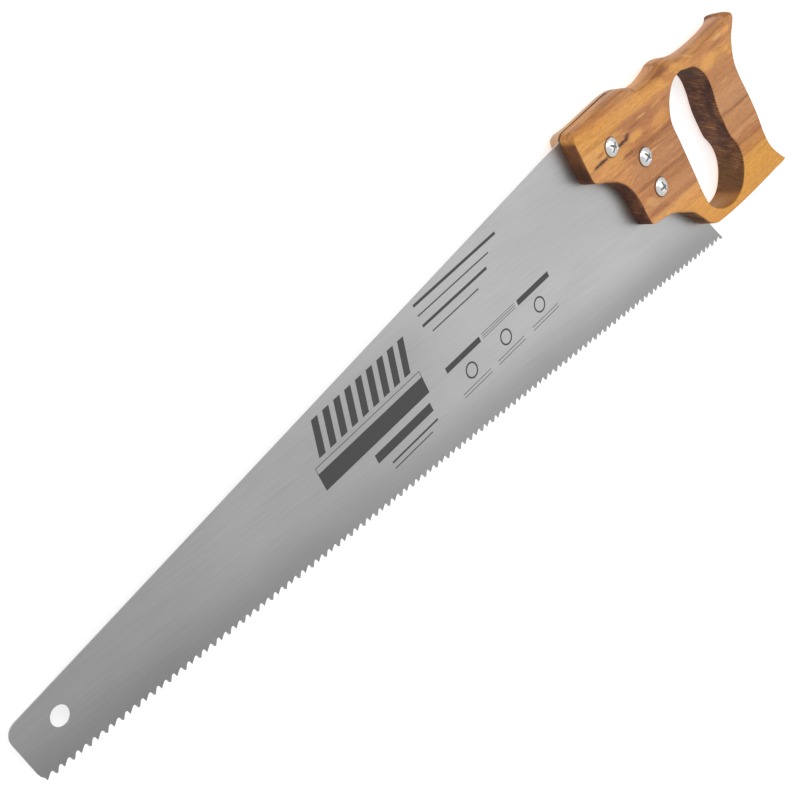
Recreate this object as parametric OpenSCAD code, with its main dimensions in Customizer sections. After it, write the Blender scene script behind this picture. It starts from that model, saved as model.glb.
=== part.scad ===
// Hand saw lying on its side: a tapered steel blade with a wooden closed handle,
// held together by three domed saw screws and their barrel nuts.
// +X runs along the tooth line from toe to handle, +Y from the teeth to the back
// of the blade, +Z up through the thickness. The origin is the middle of the
// footprint, on the surface that the saw lies on.

/* [Blade] */
// Number of tooth tips along the cutting edge
tooth_count = 114; // [90:1:140]
// Distance from one tooth tip to the next
tooth_pitch = 4.233; // [3.6:0.001:5]
// Depth of the gullets between the teeth
tooth_depth = 2.4; // [1.2:0.1:3]
// How much lower the last tooth tip is than the first one
tooth_drop = 0.9; // [0:0.1:2]
// Thickness of the steel
blade_thickness = 1; // [0.8:0.1:1.4]
// Height of the back edge above the first tooth tip
toe_height = 29.2; // [24:0.1:34]
// Angle between the back edge and the tooth line, in degrees
back_angle = 10.75; // [9.5:0.05:10.8]
// Radius of the rounded corner at the top of the toe
toe_radius = 6; // [3:0.5:8]
// Diameter of the hanging hole
hang_hole_d = 9; // [5:0.5:10]

/* [Handle] */
// Thickness of the wood
handle_thickness = 18.2; // [16:0.1:20]
// Wood between the blade and the front face of the handle
front_cheek = 9; // [7:0.1:9.5]
// Width of the sawn slot that takes the blade
slot_width = 1.2; // [1.2:0.1:1.6]

/* [Screws] */
// Diameter of the domed heads of screws and nuts
head_d = 10; // [9:0.5:12]
// Height of the screw heads above the wood
screw_head_h = 2.6; // [2:0.1:3.2]
// Height of the nut heads above the wood
nut_head_h = 2; // [1.6:0.1:2.6]
// Outside diameter of the nuts' barrels
barrel_d = 6.4; // [5.8:0.1:6.6]
// Length of the nuts' barrels
barrel_length = 13.6; // [12:0.1:14.4]
// Diameter of the screws' shanks
shank_d = 4; // [3:0.1:4.4]
// Length of the screws' shanks
shank_length = 12; // [8:0.5:13]

/* [Hidden] */
$fn = 48;

steel = [0.68, 0.68, 0.69];
plated = [0.86, 0.87, 0.88];
wood = [0.78, 0.55, 0.33];

// Heights through the thickness
back_face_z = nut_head_h;
front_face_z = back_face_z + handle_thickness;
blade_top_z = front_face_z - front_cheek;
blade_mid_z = blade_top_z - blade_thickness / 2;

// Plan coordinates: X runs backwards from the tooth tip at the heel, and Y up from
// the tooth tip at the toe.
toe_x = -(tooth_count - 1) * tooth_pitch;
back_slope = tan(back_angle);
heel_lean = 0.585;   // sideways run of the heel edge for each unit of height
heel_foot = [1.1, 0.7 - tooth_drop];   // where the heel edge cuts off the last tooth's flank
hidden_top = 102;    // top edge of the blade inside the handle

// Centres of the three fixings
fixings = [[-73.6, 86.7], [-51.1, 71.3], [-46.1, 52]];
screw_turns = [53, 34, 14];
fixing_hole_r = 3.4;
blade_hole_r = 3.6;
hang_hole = [toe_x + 16.1, 19.2];

// One tooth: a gentle flank, a round gullet and a steep face, as parts of the
// pitch and of the depth
tooth_shape = [[0, 0], [0.36, 0.7], [0.48, 0.92], [0.62, 1], [0.75, 0.94], [0.85, 0.62]];

// Handle outline, clockwise from the nose: X and Y, how wide and how deep the front
// edge is rounded there, and the same for the back edge
handle_outline = [
    [-98.9, 99.2, 1.5, 1.5, 4.5, 4.5], [-98.4, 102, 1.6, 1.6, 4.5, 4.5],
    [-96.3, 104.1, 2.2, 2.2, 5, 5], [-92.5, 104.9, 3, 3, 6, 6],
    [-87, 105.5, 3.5, 3.5, 7, 7], [-69.3, 107.8, 3.5, 3.5, 7.2, 7.2],
    [-52.5, 109.4, 3.5, 3.5, 6.8, 6.8], [-47, 108.3, 4.5, 4, 6.5, 6.5],
    [-42.3, 106.4, 6.5, 5.5, 7, 6.5], [-38, 104.7, 8, 6.5, 8, 6.5],
    [-33, 104.8, 9, 7, 9, 7], [-27.4, 105.3, 9, 7, 9, 7], [-18.2, 108, 9, 7, 9, 7],
    [-13.8, 109.8, 8.5, 7, 8.5, 7], [-8.8, 109.8, 8, 7, 8, 7], [-3.9, 108.4, 8, 7, 8, 7],
    [3, 106.9, 8, 7, 8, 7], [11, 106.6, 8, 7, 8.5, 8], [31, 108.7, 7, 7, 9, 9],
    [41, 110.6, 5.5, 7, 8.5, 9], [46.6, 111.4, 3, 6.5, 4.4, 9], [50.1, 112.9, 2, 6, 2.1, 9],
    [52.1, 111.9, 1.8, 5.5, 2.1, 9], [52.8, 109.3, 1.8, 5, 1.8, 9], [52.1, 106.6, 2.2, 4, 2, 8],
    [47, 99, 2.5, 2.5, 2.5, 2.5], [43.8, 90, 2, 2, 2, 2], [43.4, 84.5, 2, 2, 2, 2],
    [44.6, 77.5, 2, 2, 2, 2], [48, 65, 2, 2, 2, 2], [50.8, 52, 2, 2, 2, 2],
    [52.3, 40, 2, 2, 2, 2], [54.9, 31.7, 2, 2, 2, 2], [58.9, 25.6, 1.5, 1.5, 1.5, 1.5],
    [62.8, 21, 1, 1, 1, 1], [64.2, 19.6, 0.6, 0.6, 0.6, 0.6],
    [62.9, 18.6, 0.8, 0.8, 0.8, 0.8], [52.7, 17.1, 1.5, 1.5, 1.5, 1.5],
    [32.7, 14.9, 1.5, 1.5, 1.5, 1.5], [12.7, 13.3, 1.5, 1.5, 1.5, 1.5],
    [-2.5, 12.8, 1.5, 1.5, 1.5, 1.5], [-9.3, 13.2, 1.4, 1.4, 1.4, 1.4],
    [-16, 16.6, 1.6, 1.6, 1.6, 1.6], [-21.5, 22.3, 1.7, 1.7, 1.7, 1.7],
    [-26.5, 27.4, 1.7, 1.7, 1.7, 1.7], [-33.8, 31.3, 1.6, 1.6, 1.6, 1.6],
    [-42.3, 34.5, 1.5, 1.5, 1.5, 1.5], [-52, 35.7, 1.4, 1.4, 1.4, 1.4],
    [-58.4, 36.4, 1.1, 1.1, 1.1, 1.1], [-61, 37.7, 1, 1, 1, 1],
    [-63.4, 44, 1.5, 1.5, 1.5, 1.5], [-65.2, 52, 1.6, 1.6, 1.6, 1.6],
    [-69.5, 61.4, 1.6, 1.6, 1.6, 1.6], [-76.5, 68.2, 1.6, 1.6, 1.6, 1.6],
    [-84, 71.7, 1.6, 1.6, 1.6, 1.6], [-91.6, 74.5, 1.4, 1.4, 1.4, 1.4],
    [-94, 76.6, 1, 1, 1, 1], [-95.7, 82.4, 1.4, 1.4, 2, 2], [-97.8, 93, 1.5, 1.5, 3.5, 3.5]
];

// Grip hole, clockwise from its widest point on the blade's side
grip_outline = [
    [-22.1, 78], [-21.2, 83.5], [-18.2, 90.4], [-12, 97], [-5.5, 99.3],
    [1.5, 99.4], [8.7, 96.6], [14.5, 90.1], [16.5, 82], [16.8, 70], [18.6, 60],
    [20.6, 52.4], [25, 44.6], [26.2, 37], [24.4, 29.4], [19, 21.6], [12, 18.1],
    [3.5, 17.6], [-5, 20.3], [-11, 25.8], [-13.6, 33], [-16, 46], [-20, 67]
];

// Smooth closed curve through a list of points (centripetal Catmull-Rom)
function knot(a, b) = sqrt(norm([b[0] - a[0], b[1] - a[1]]));
function blend(a, b, ta, tb, t) = ((tb - t) * a + (t - ta) * b) / (tb - ta);
function curve_point(a, b, c, d, part) =
    let (t1 = knot(a, b), t2 = t1 + knot(b, c), t3 = t2 + knot(c, d),
         t = t1 + part * (t2 - t1),
         ab = blend(a, b, 0, t1, t), bc = blend(b, c, t1, t2, t),
         cd = blend(c, d, t2, t3, t))
    blend(blend(ab, bc, 0, t2, t), blend(bc, cd, t1, t3, t), t1, t2, t);
function closed_curve(points, steps) =
    let (n = len(points))
    [for (i = [0 : n - 1]) for (k = [0 : steps - 1])
        curve_point(points[(i + n - 1) % n], points[i], points[(i + 1) % n],
                    points[(i + 2) % n], k / steps)];

handle_curve = closed_curve(handle_outline, 3);
grip_curve = closed_curve(grip_outline, 4);

// Normal to the right of a clockwise curve, so pointing into it
function inward(curve, i) =
    let (n = len(curve), a = curve[(i + n - 1) % n], b = curve[(i + 1) % n],
         along = [b[0] - a[0], b[1] - a[1]])
    [along[1], -along[0]] / norm(along);

// One ring of a rounded edge: angle 0 is on the side wall, 90 on the face. The edge's
// width and depth are at places size and size + 1 of each point.
function ring(curve, face_z, face_side, size, angle) =
    [for (i = [0 : len(curve) - 1])
        let (p = curve[i], move = p[size] * (1 - cos(angle)) * inward(curve, i))
        [p[0] + move[0], p[1] + move[1],
         face_z - face_side * p[size + 1] * (1 - sin(angle))]];

module rings_to_solid(rings) {
    n = len(rings[0]);
    last = len(rings) - 1;
    sides = [for (level = [0 : last - 1]) for (i = [0 : n - 1])
        let (j = (i + 1) % n, low = level * n, high = low + n)
        each [[low + i, high + i, high + j], [low + i, high + j, low + j]]];
    polyhedron(points = [for (one = rings) each one],
               faces = concat([[for (i = [0 : n - 1]) n - 1 - i]],
                              [[for (i = [0 : n - 1]) last * n + i]], sides));
}

edge_angles = [0, 30, 60, 90];

function raised(points, height) = [for (p = points) p + [0, 0, height]];

// The rounded block runs past both faces, and the slab trims it flat
module rounded_body(curve) {
    spare = 1;
    span = 400;
    back = [for (k = [3 : -1 : 0]) ring(curve, back_face_z, -1, 4, edge_angles[k])];
    front = [for (k = [0 : 3]) ring(curve, front_face_z, 1, 2, edge_angles[k])];
    intersection() {
        rings_to_solid(concat([raised(back[0], -spare)], back, front,
                              [raised(front[3], spare)]));
        translate([-span / 2, -span / 2, back_face_z])
            cube([span, span, handle_thickness]);
    }
}

// Arc that rounds the corner at b between a and c
function round_corner(a, b, c, r, steps) =
    let (to_a = (a - b) / norm(a - b), to_c = (c - b) / norm(c - b),
         half = acos(to_a * to_c) / 2, middle = (to_a + to_c) / norm(to_a + to_c),
         centre = b + middle * r / sin(half),
         start = b + to_a * r / tan(half) - centre,
         finish = b + to_c * r / tan(half) - centre,
         angle_a = atan2(start[1], start[0]), turn = 180 - 2 * half,
         side = (start[0] * finish[1] - start[1] * finish[0]) > 0 ? 1 : -1)
    [for (k = [0 : steps])
        centre + r * [cos(angle_a + side * turn * k / steps),
                      sin(angle_a + side * turn * k / steps)]];

function back_edge_y(x) = toe_height + (x - toe_x) * back_slope;
function tooth_line_y(x) = tooth_drop * (x / toe_x - 1);
function heel_x(y) = heel_foot[0] - heel_lean * (y - heel_foot[1]);

toe_foot = [toe_x - 2.6, 5];
toe_lean = 0.19;
toe_corner_x = toe_x - 7;
toe_corner = [toe_corner_x, back_edge_y(toe_corner_x)];
enters_handle_x = -92;

blade_outline = concat(
    [for (i = [0 : tooth_count - 2]) for (part = tooth_shape)
        let (x = toe_x + (i + part[0]) * tooth_pitch)
        [x, tooth_line_y(x) + part[1] * tooth_depth]],
    [[0, -tooth_drop], heel_foot, [heel_x(hidden_top), hidden_top]],
    [[enters_handle_x, min(hidden_top, back_edge_y(enters_handle_x))]],
    round_corner([0, back_edge_y(0)], toe_corner, toe_foot, toe_radius, 8),
    [toe_foot, [toe_x - 1.9, 3.1], [toe_x - 0.9, 1.8]]);

// Middle of the footprint, which becomes the origin
low_x = min([for (p = blade_outline) p[0]]);
high_x = max([for (p = handle_curve) p[0]]);
high_y = max([for (p = handle_curve) p[1]]);
centre_x = (low_x + high_x) / 2;
centre_y = (high_y - tooth_drop) / 2;

module in_place() {
    translate([-centre_x, -centre_y, 0]) children();
}

module blade() {
    color(steel) in_place() difference() {
        translate([0, 0, blade_top_z - blade_thickness])
            linear_extrude(blade_thickness) polygon(blade_outline);
        for (spot = concat([[hang_hole, hang_hole_d / 2]],
                           [for (f = fixings) [f, blade_hole_r]]))
            translate([spot[0][0], spot[0][1], blade_top_z - blade_thickness - 1])
                cylinder(r = spot[1], h = blade_thickness + 2);
    }
}

// Everything in front of the heel edge, one slot thick. Near the top edge the saw
// cut runs on past the blade.
module blade_slot() {
    top = 120;
    bend = 50;
    past_heel = 1.6;
    past_heel_top = 9;
    translate([0, 0, blade_mid_z - slot_width / 2])
        linear_extrude(slot_width)
            polygon([[-top, 0], [heel_x(0) + past_heel, 0], [heel_x(bend) + past_heel, bend],
                     [heel_x(top) + past_heel_top, top], [-top, top]]);
}

module handle() {
    color(wood) in_place() difference() {
        rounded_body(handle_curve);
        translate([0, 0, back_face_z - 1])
            linear_extrude(handle_thickness + 2) polygon(grip_curve);
        blade_slot();
        for (f = fixings)
            translate([f[0], f[1], back_face_z - 1])
                cylinder(r = fixing_hole_r, h = handle_thickness + 2);
    }
}

// Half of a domed head's section: a low rim with a round top
module head_section(height) {
    rim = 0.8;
    rise = height - rim;
    dome_r = (pow(head_d / 2, 2) + pow(rise, 2)) / (2 * rise);
    intersection() {
        translate([0, height - dome_r]) circle(r = dome_r, $fn = 96);
        square([head_d / 2, height]);
    }
}

module domed_head(height) {
    rotate_extrude() head_section(height);
}

module saw_screw(place) {
    f = fixings[place];
    recess_w = 1;
    recess_length = 6.8;
    recess_depth = 1.4;
    color(plated) in_place() translate([f[0], f[1], front_face_z]) {
        difference() {
            union() {
                domed_head(screw_head_h);
                translate([0, 0, -shank_length]) cylinder(d = shank_d, h = shank_length + 0.5);
            }
            for (turn = [screw_turns[place], screw_turns[place] + 90])
                rotate(turn)
                    translate([-recess_length / 2, -recess_w / 2, screw_head_h - recess_depth])
                        cube([recess_length, recess_w, recess_depth + 1]);
        }
    }
}

module barrel_nut(f) {
    driver_slot_w = 1.4;
    driver_slot_depth = 1;
    bore_r = shank_d / 2 + 0.1;
    bore_floor = 1.2;
    color(plated) in_place() translate([f[0], f[1], back_face_z]) difference() {
        union() {
            mirror([0, 0, 1]) domed_head(nut_head_h);
            translate([0, 0, -0.5]) cylinder(d = barrel_d, h = barrel_length + 0.5);
        }
        translate([0, 0, bore_floor]) cylinder(r = bore_r, h = barrel_length);
        translate([-head_d, -driver_slot_w / 2, -nut_head_h - 1])
            cube([2 * head_d, driver_slot_w, driver_slot_depth + 1]);
    }
}

module saw_screw_front() saw_screw(0);
module saw_screw_middle() saw_screw(1);
module saw_screw_rear() saw_screw(2);
module barrel_nut_front() barrel_nut(fixings[0]);
module barrel_nut_middle() barrel_nut(fixings[1]);
module barrel_nut_rear() barrel_nut(fixings[2]);

blade();
handle();
saw_screw_front();
saw_screw_middle();
saw_screw_rear();
barrel_nut_front();
barrel_nut_middle();
barrel_nut_rear();
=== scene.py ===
"""A hand saw lying flat on a pale floor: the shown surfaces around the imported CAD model."""

import math

import bmesh
import bpy
from mathutils import Matrix, Vector


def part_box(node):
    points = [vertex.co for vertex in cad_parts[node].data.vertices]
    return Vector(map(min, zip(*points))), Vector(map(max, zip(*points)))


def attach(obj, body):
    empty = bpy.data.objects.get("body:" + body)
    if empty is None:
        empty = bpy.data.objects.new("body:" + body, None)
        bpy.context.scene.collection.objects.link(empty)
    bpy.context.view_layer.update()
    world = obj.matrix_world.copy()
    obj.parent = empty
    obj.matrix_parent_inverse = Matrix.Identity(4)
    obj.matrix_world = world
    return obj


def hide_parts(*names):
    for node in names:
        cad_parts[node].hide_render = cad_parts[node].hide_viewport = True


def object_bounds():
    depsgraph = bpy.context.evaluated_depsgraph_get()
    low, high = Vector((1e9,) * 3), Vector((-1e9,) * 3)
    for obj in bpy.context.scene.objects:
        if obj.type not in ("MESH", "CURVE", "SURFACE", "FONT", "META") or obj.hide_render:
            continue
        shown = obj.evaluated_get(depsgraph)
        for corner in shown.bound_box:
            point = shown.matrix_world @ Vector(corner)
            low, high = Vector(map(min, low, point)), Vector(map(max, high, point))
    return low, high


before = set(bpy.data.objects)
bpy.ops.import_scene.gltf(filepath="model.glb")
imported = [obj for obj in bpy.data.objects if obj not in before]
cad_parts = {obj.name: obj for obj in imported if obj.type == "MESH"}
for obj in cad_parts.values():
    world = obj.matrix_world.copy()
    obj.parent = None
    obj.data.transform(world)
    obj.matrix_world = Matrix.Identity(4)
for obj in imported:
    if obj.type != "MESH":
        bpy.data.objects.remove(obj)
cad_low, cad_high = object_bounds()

MM = 0.001
WELD = 2e-6

# ---------------------------------------------------------------- places
# Plan coordinates, in millimetres: X runs back from the tooth tip at the heel, and Y runs up from
# the tooth tip at the toe.
handle_low, handle_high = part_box("handle")
blade_low, blade_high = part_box("blade")
HANDLE_REAR_X = 64.2
TOOTH_DROP = 0.9
heel_x = handle_high.x - HANDLE_REAR_X * MM
tooth_line_y = blade_low.y + TOOTH_DROP * MM
BACK_FACE = handle_low.z / MM
FRONT_FACE = handle_high.z / MM
BLADE_BACK = blade_low.z / MM
BLADE_FRONT = blade_high.z / MM
BLADE_MIDDLE = (BLADE_BACK + BLADE_FRONT) / 2

# The same outlines as the CAD: X, Y, how wide and how deep the front edge is rounded there,
# and the same for the back edge.
HANDLE_OUTLINE = [
    (-98.9, 99.2, 1.5, 1.5, 4.5, 4.5), (-98.4, 102, 1.6, 1.6, 4.5, 4.5),
    (-96.3, 104.1, 2.2, 2.2, 5, 5), (-92.5, 104.9, 3, 3, 6, 6),
    (-87, 105.5, 3.5, 3.5, 7, 7), (-69.3, 107.8, 3.5, 3.5, 7.2, 7.2),
    (-52.5, 109.4, 3.5, 3.5, 6.8, 6.8), (-47, 108.3, 4.5, 4, 6.5, 6.5),
    (-42.3, 106.4, 6.5, 5.5, 7, 6.5), (-38, 104.7, 8, 6.5, 8, 6.5),
    (-33, 104.8, 9, 7, 9, 7), (-27.4, 105.3, 9, 7, 9, 7), (-18.2, 108, 9, 7, 9, 7),
    (-13.8, 109.8, 8.5, 7, 8.5, 7), (-8.8, 109.8, 8, 7, 8, 7), (-3.9, 108.4, 8, 7, 8, 7),
    (3, 106.9, 8, 7, 8, 7), (11, 106.6, 8, 7, 8.5, 8), (31, 108.7, 7, 7, 9, 9),
    (41, 110.6, 5.5, 7, 8.5, 9), (46.6, 111.4, 3, 6.5, 4.4, 9), (50.1, 112.9, 2, 6, 2.1, 9),
    (52.1, 111.9, 1.8, 5.5, 2.1, 9), (52.8, 109.3, 1.8, 5, 1.8, 9), (52.1, 106.6, 2.2, 4, 2, 8),
    (47, 99, 2.5, 2.5, 2.5, 2.5), (43.8, 90, 2, 2, 2, 2), (43.4, 84.5, 2, 2, 2, 2),
    (44.6, 77.5, 2, 2, 2, 2), (48, 65, 2, 2, 2, 2), (50.8, 52, 2, 2, 2, 2),
    (52.3, 40, 2, 2, 2, 2), (54.9, 31.7, 2, 2, 2, 2), (58.9, 25.6, 1.5, 1.5, 1.5, 1.5),
    (62.8, 21, 1, 1, 1, 1), (64.2, 19.6, 0.6, 0.6, 0.6, 0.6),
    (62.9, 18.6, 0.8, 0.8, 0.8, 0.8), (52.7, 17.1, 1.5, 1.5, 1.5, 1.5),
    (32.7, 14.9, 1.5, 1.5, 1.5, 1.5), (12.7, 13.3, 1.5, 1.5, 1.5, 1.5),
    (-2.5, 12.8, 1.5, 1.5, 1.5, 1.5), (-9.3, 13.2, 1.4, 1.4, 1.4, 1.4),
    (-16, 16.6, 1.6, 1.6, 1.6, 1.6), (-21.5, 22.3, 1.7, 1.7, 1.7, 1.7),
    (-26.5, 27.4, 1.7, 1.7, 1.7, 1.7), (-33.8, 31.3, 1.6, 1.6, 1.6, 1.6),
    (-42.3, 34.5, 1.5, 1.5, 1.5, 1.5), (-52, 35.7, 1.4, 1.4, 1.4, 1.4),
    (-58.4, 36.4, 1.1, 1.1, 1.1, 1.1), (-61, 37.7, 1, 1, 1, 1),
    (-63.4, 44, 1.5, 1.5, 1.5, 1.5), (-65.2, 52, 1.6, 1.6, 1.6, 1.6),
    (-69.5, 61.4, 1.6, 1.6, 1.6, 1.6), (-76.5, 68.2, 1.6, 1.6, 1.6, 1.6),
    (-84, 71.7, 1.6, 1.6, 1.6, 1.6), (-91.6, 74.5, 1.4, 1.4, 1.4, 1.4),
    (-94, 76.6, 1, 1, 1, 1), (-95.7, 82.4, 1.4, 1.4, 2, 2), (-97.8, 93, 1.5, 1.5, 3.5, 3.5),
]
GRIP_EDGE = 1.3
GRIP_OUTLINE = [
    (x, y) + (GRIP_EDGE,) * 4 for x, y in (
        (-22.1, 78), (-21.2, 83.5), (-18.2, 90.4), (-12, 97), (-5.5, 99.3),
        (1.5, 99.4), (8.7, 96.6), (14.5, 90.1), (16.5, 82), (16.8, 70), (18.6, 60),
        (20.6, 52.4), (25, 44.6), (26.2, 37), (24.4, 29.4), (19, 21.6), (12, 18.1),
        (3.5, 17.6), (-5, 20.3), (-11, 25.8), (-13.6, 33), (-16, 46), (-20, 67),
    )
]
FIXING_NAMES = ["front", "middle", "rear"]
FIXINGS = []
for place in FIXING_NAMES:
    low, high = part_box("saw_screw_" + place)
    middle_x, middle_y = (low.x + high.x) / 2, (low.y + high.y) / 2
    FIXINGS.append(((middle_x - heel_x) / MM, (middle_y - tooth_line_y) / MM))

PITCH = 4.233
TEETH = 114
TOOTH_DEPTH = 2.4
TOE_X = -(TEETH - 1) * PITCH
# The heel edge leans forward by this much for each millimetre up from its foot
HEEL_LEAN = 0.585
HEEL_FOOT = (1.1, 0.7 - TOOTH_DROP)
# The back edge rises at this slope from its height over the first tip
BACK_SLOPE = math.tan(math.radians(10.75))
TOE_HEIGHT = 29.2
# The end inside the handle stops at this height
HIDDEN_TOP = 102
HANG_HOLE = (TOE_X + 16.1, 19.2)
HANG_HOLE_R = 4.5


def curve_through(points, steps):
    """Closed centripetal Catmull-Rom curve through points of any dimension."""
    count = len(points)
    curve = []
    for i in range(count):
        a, b, c, d = (Vector(points[(i + k) % count]) for k in (-1, 0, 1, 2))
        times = [0.0]
        for p, q in ((a, b), (b, c), (c, d)):
            times.append(times[-1] + math.sqrt((q.xy - p.xy).length))
        for k in range(steps):
            t = times[1] + (times[2] - times[1]) * k / steps
            ab, bc, cd = (
                p.lerp(q, (t - times[j]) / (times[j + 1] - times[j]))
                for j, (p, q) in enumerate(((a, b), (b, c), (c, d)))
            )
            abc = ab.lerp(bc, (t - times[0]) / (times[2] - times[0]))
            bcd = bc.lerp(cd, (t - times[1]) / (times[3] - times[1]))
            curve.append(abc.lerp(bcd, (t - times[1]) / (times[2] - times[1])))
    return curve


def inward_normals(curve):
    """Unit normals to the right of a clockwise curve."""
    normals = []
    for i in range(len(curve)):
        along = curve[(i + 1) % len(curve)].xy - curve[i - 1].xy
        normals.append(Vector((along.y, -along.x)).normalized())
    return normals


# ---------------------------------------------------------------- mesh helpers
def new_object(name, bm, material=None):
    """Turns a bmesh in plan millimetres into an object in metres in the shared frame."""
    bm.transform(Matrix.Translation((heel_x, tooth_line_y, 0)) @ Matrix.Scale(MM, 4))
    bmesh.ops.recalc_face_normals(bm, faces=bm.faces)
    mesh = bpy.data.meshes.new(name)
    bm.to_mesh(mesh)
    bm.free()
    piece = bpy.data.objects.new(name, mesh)
    bpy.context.scene.collection.objects.link(piece)
    if material:
        mesh.materials.append(material)
    return piece


def smooth(piece, degrees):
    """Smooth shading, with edges that turn by more than this kept crisp."""
    piece.data.polygons.foreach_set("use_smooth", [True] * len(piece.data.polygons))
    piece.data.set_sharp_from_angle(angle=math.radians(degrees))
    weighted = piece.modifiers.new("weighted", "WEIGHTED_NORMAL")
    weighted.keep_sharp = True


def add_ring(bm, points):
    return [bm.verts.new(p) for p in points]


def bridge(bm, ring_a, ring_b, closed=True):
    """Quads between two rings of the same length."""
    count = len(ring_a)
    for i in range(count if closed else count - 1):
        j = (i + 1) % count
        bm.faces.new((ring_a[i], ring_a[j], ring_b[j], ring_b[i]))


def fill_between(bm, loops):
    """Flat face with holes: triangles between closed loops of vertices."""
    edges = []
    for loop in loops:
        for i, v in enumerate(loop):
            w = loop[(i + 1) % len(loop)]
            edges.append(bm.edges.get((v, w)) or bm.edges.new((v, w)))
    bmesh.ops.triangle_fill(bm, use_beauty=True, use_dissolve=False, edges=edges)


def rounded_rings(curve, side, steps):
    """Rings of a wall with both edges rounded; side 1 rounds into the curve, -1 away from it."""
    normals = inward_normals(curve)
    rings = []
    # Face, direction into the wood, where a point holds that edge's width, and the order of the steps
    back = (BACK_FACE, 1, 4, range(steps, -1, -1))
    front = (FRONT_FACE, -1, 2, range(steps + 1))
    for face_z, towards, size, order in (back, front):
        for k in order:
            angle = math.pi / 2 * k / steps
            rings.append([
                (
                    p[0] + side * n.x * p[size] * (1 - math.cos(angle)),
                    p[1] + side * n.y * p[size] * (1 - math.cos(angle)),
                    face_z + towards * p[size + 1] * (1 - math.sin(angle)),
                )
                for p, n in zip(curve, normals)
            ])
    return rings


def loft(bm, levels):
    """A closed solid through rings of points, used as a cutter."""
    rings = [add_ring(bm, points) for points in levels]
    for a, b in zip(rings, rings[1:]):
        bridge(bm, a, b)
    bm.faces.new(rings[0])
    bm.faces.new(rings[-1])


def prism(bm, outline, low_z, high_z):
    loft(bm, [[(x, y, z) for x, y in outline] for z in (low_z, high_z)])


def circle_points(centre, radius, count):
    return [
        (
            centre[0] + radius * math.cos(2 * math.pi * k / count),
            centre[1] + radius * math.sin(2 * math.pi * k / count),
        )
        for k in range(count)
    ]


def lathe(bm, centre, profile, count):
    """Turns a profile of (radius, z) about an upright axis; radius 0 closes an end."""
    rings = []
    for radius, z in profile:
        if radius == 0:
            rings.append([bm.verts.new((centre[0], centre[1], z))])
        else:
            rings.append(add_ring(bm, [(x, y, z) for x, y in circle_points(centre, radius, count)]))
    for a, b in zip(rings, rings[1:]):
        if len(a) == 1 or len(b) == 1:
            tip, ring = (a[0], b) if len(a) == 1 else (b[0], a)
            for i in range(count):
                bm.faces.new((tip, ring[i], ring[(i + 1) % count]))
        else:
            bridge(bm, a, b)


def cut(piece, cutter):
    """Takes cutter away from piece, and leaves a plain mesh."""
    modifier = piece.modifiers.new("cut", "BOOLEAN")
    modifier.operation = "DIFFERENCE"
    modifier.solver = "EXACT"
    modifier.object = cutter
    evaluated = piece.evaluated_get(bpy.context.evaluated_depsgraph_get())
    result = bpy.data.meshes.new_from_object(evaluated)
    piece.modifiers.clear()
    old = piece.data
    piece.data = result
    result.name = old.name
    bpy.data.meshes.remove(old)
    cutter_mesh = cutter.data
    bpy.data.objects.remove(cutter)
    bpy.data.meshes.remove(cutter_mesh)
    bm = bmesh.new()
    bm.from_mesh(piece.data)
    bmesh.ops.remove_doubles(bm, verts=bm.verts, dist=WELD)
    bmesh.ops.dissolve_degenerate(bm, dist=WELD, edges=bm.edges)
    bm.to_mesh(piece.data)
    bm.free()


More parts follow.
